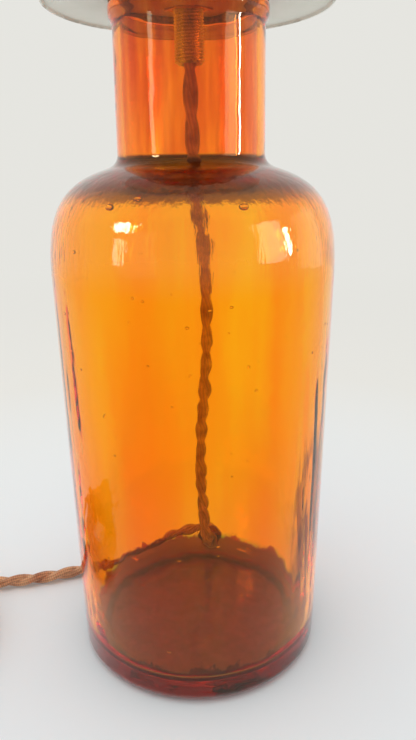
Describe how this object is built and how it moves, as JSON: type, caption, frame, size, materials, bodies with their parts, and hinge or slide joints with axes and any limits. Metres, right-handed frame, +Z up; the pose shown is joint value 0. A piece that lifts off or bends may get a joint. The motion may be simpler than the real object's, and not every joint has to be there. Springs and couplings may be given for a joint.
{
  "type": "glass bottle table lamp",
  "caption": "Table lamp made from a wide-mouthed amber glass bottle, with a flat cap plate, threaded tube, switched lampholder, bulb and twisted cloth cord.",
  "frame": {"origin": "on the table, under the centre of the bottle", "axes": "+Z up along the bottle's axis, +Y towards the cord hole in the rear wall, +X towards the switch knob"},
  "size_m": [0.2187, 0.145, 0.3781],
  "materials": {
    "amber_glass": "clear amber blown glass with seeds and faint ripples",
    "clear_glass": "clear thin glass",
    "brass": "aged brass, lightly dulled",
    "nickel": "nickel-plated, satin",
    "pale_paint": "pale grey-green enamel, worn at the rim",
    "cork": "brown cork, matt",
    "porcelain": "off-white glaze",
    "fibre": "brown vulcanised fibre, matt",
    "black_glass": "black moulded insulator, glossy",
    "filament": "yellow coated filament sticks",
    "cloth_cord": "braided bronze cloth over a twisted pair",
    "dark_rubber": "dark brown rubber, matt",
    "dark_plastic": "dark brown moulded plastic"
  },
  "bodies": {
    "stand": {"glass_bottle": "amber_glass", "cord_grommet": "dark_rubber", "cork_ring": "cork", "cap_plate": "pale_paint", "threaded_tube": "brass", "lower_nut": "brass", "lock_ring": "brass", "holder_cup": "brass", "holder_grub_screw": "nickel", "holder_shell": "brass", "insulating_sleeve": "fibre", "holder_insert": "porcelain", "terminal_screw_live": "brass", "terminal_screw_neutral": "brass", "lead_live": "cloth_cord", "lead_neutral": "cloth_cord", "screw_shell": "brass", "centre_contact": "brass", "cord_inside": "cloth_cord", "cord_outside": "cloth_cord", "cord_coil": "cloth_cord", "coil_tie": "dark_rubber", "cord_tail": "cloth_cord", "plug_relief": "dark_rubber", "plug_body": "dark_plastic", "plug_pin_left": "nickel", "plug_pin_right": "nickel"},
    "switch": {"switch_knob": "brass"},
    "bulb_lift": {"bulb_tip": "nickel"},
    "bulb": {"bulb_insulator": "black_glass", "bulb_cap": "nickel", "bulb_glass": "clear_glass", "bulb_stem": "clear_glass", "bulb_filaments": "filament"}
  },
  "joints": [
    {"name": "switch_turn", "type": "hinge", "parent": "stand", "child": "switch", "pos_m": [0.0268, 0, 0.2651], "axis": [1, 0, 0], "continuous": true},
    {"name": "bulb_rise", "type": "slide", "parent": "stand", "child": "bulb_lift", "axis": [0, 0, 1], "range_m": [0, 0.0182]},
    {"name": "bulb_turn", "type": "hinge", "parent": "bulb_lift", "child": "bulb", "pos_m": [0, 0, 0.3], "axis": [0, 0, 1], "range_deg": [0, 1800]}
  ],
  "couplings": [
    {"joint": "bulb_rise", "follows": "bulb_turn", "m_per_rad": 0.00057614}
  ]
}
